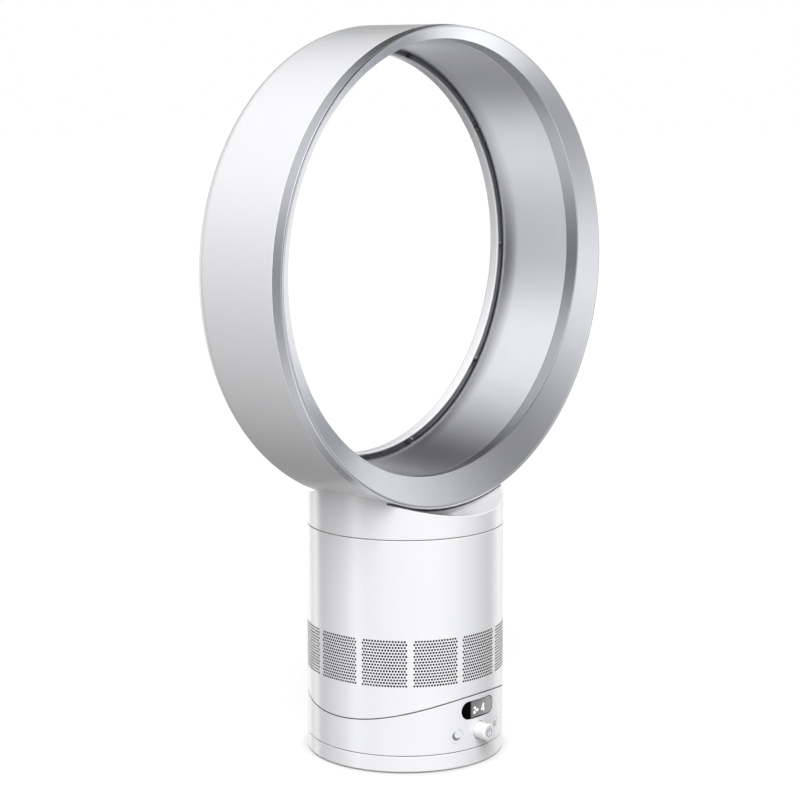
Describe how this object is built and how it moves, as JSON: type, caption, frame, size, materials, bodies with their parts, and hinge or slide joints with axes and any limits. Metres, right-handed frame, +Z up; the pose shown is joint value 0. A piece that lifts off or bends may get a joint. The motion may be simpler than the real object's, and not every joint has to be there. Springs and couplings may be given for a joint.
{
  "type": "bladeless desk fan",
  "caption": "Round pedestal fan without open blades: a hollow air loop with an annular slot on a cylindrical base that swings and tilts, with a display, a knob and flush buttons.",
  "frame": {"origin": "centre of the non-slip mat's underside, on the floor below the axis of the base", "axes": "+Z up; the air blows towards -Y, which is the front with the display and the knob; +X is to the right seen from the front"},
  "size_m": [0.3544, 0.159, 0.5452],
  "materials": {
    "white_shell": "glossy white moulding",
    "silver_trim": "silver metallic paint",
    "inner_plastic": "moulded, unpainted",
    "dark_plastic": "moulded black",
    "window": "polished dark smoked window",
    "seal_rubber": "matte black rubber",
    "foam": "open-cell foam",
    "screw_steel": "zinc-plated steel",
    "motor_steel": "rolled steel can",
    "lamination": "stacked laminations",
    "copper_wire": "enamelled winding",
    "gear_plastic": "natural acetal",
    "board": "solder-masked circuit board"
  },
  "bodies": {
    "base": {"foot_shell": "white_shell", "foot_base_plate": "inner_plastic", "non_slip_mat": "seal_rubber", "foot_screws": "screw_steel", "pivot_sleeve": "gear_plastic", "pivot_cap": "gear_plastic", "pivot_screws": "screw_steel", "glide_ring": "gear_plastic", "ring_gear": "gear_plastic", "power_socket": "dark_plastic"},
    "swing_pinion": {"swing_pinion": "gear_plastic"},
    "lower_body": {"control_casing": "white_shell", "swivel_floor": "inner_plastic", "floor_screws": "screw_steel", "swing_motor": "motor_steel", "motor_screws": "screw_steel", "tilt_cradle": "inner_plastic", "rail_caps": "gear_plastic", "rail_screws": "screw_steel", "control_board": "board", "board_screws": "screw_steel", "display_window": "window", "display_module": "dark_plastic", "knob_encoder": "motor_steel", "tact_switches": "dark_plastic"},
    "knob_carriage": {"knob_carriage": "inner_plastic"},
    "control_knob": {"control_knob": "white_shell"},
    "sleep_button": {"sleep_button": "white_shell"},
    "oscillation_button": {"oscillation_button": "white_shell"},
    "upper_body": {"main_casing": "white_shell", "tilt_slider": "inner_plastic", "slider_screws": "screw_steel", "main_board": "board", "main_board_screws": "screw_steel", "baffle_plate": "inner_plastic", "baffle_screws": "screw_steel", "inlet_foam": "foam", "inlet_cowl": "dark_plastic", "impeller_housing": "inner_plastic", "housing_seal": "seal_rubber", "diffuser": "inner_plastic", "motor_bucket_lower": "inner_plastic", "motor_bucket_upper": "inner_plastic", "stator_core": "lamination", "stator_windings": "copper_wire", "bearings": "screw_steel", "bayonet_ring": "inner_plastic", "loop_seal": "seal_rubber", "neck_foam": "foam", "loop_shell": "white_shell", "loop_inner_wall": "silver_trim", "loop_bezel": "silver_trim", "slot_spacers": "silver_trim"},
    "impeller": {"impeller": "inner_plastic", "rotor_shaft": "motor_steel"}
  },
  "joints": [
    {"name": "swing", "type": "hinge", "parent": "base", "child": "lower_body", "pos_m": [0, 0, 0.01335], "axis": [0, 0, 1], "range_deg": [-35, 35]},
    {"name": "pinion_spin", "type": "hinge", "parent": "lower_body", "child": "swing_pinion", "pos_m": [0, 0.034, 0.0054], "axis": [0, 0, 1], "range_deg": [-234, 234]},
    {"name": "tilt", "type": "hinge", "parent": "lower_body", "child": "upper_body", "pos_m": [0, 0, 0.2195], "axis": [1, 0, 0], "range_deg": [-10, 10]},
    {"name": "impeller_spin", "type": "hinge", "parent": "upper_body", "child": "impeller", "pos_m": [0, 0, 0.11], "axis": [0, 0, 1], "continuous": true},
    {"name": "knob_press", "type": "slide", "parent": "lower_body", "child": "knob_carriage", "axis": [0, 1, 0], "range_m": [0, 0.001], "stiffness_N_per_m": 1000, "springref_m": -0.0005},
    {"name": "knob_turn", "type": "hinge", "parent": "knob_carriage", "child": "control_knob", "pos_m": [0, -0.0745, 0.026], "axis": [0, -1, 0], "continuous": true},
    {"name": "sleep_press", "type": "slide", "parent": "lower_body", "child": "sleep_button", "axis": [0, 1, 0], "range_m": [0, 0.0005], "stiffness_N_per_m": 1500, "springref_m": -0.0003},
    {"name": "oscillation_press", "type": "slide", "parent": "lower_body", "child": "oscillation_button", "axis": [0, 1, 0], "range_m": [0, 0.0005], "stiffness_N_per_m": 1500, "springref_m": -0.0003}
  ],
  "couplings": [
    {"joint": "pinion_spin", "follows": "swing", "ratio": -6.6667}
  ]
}
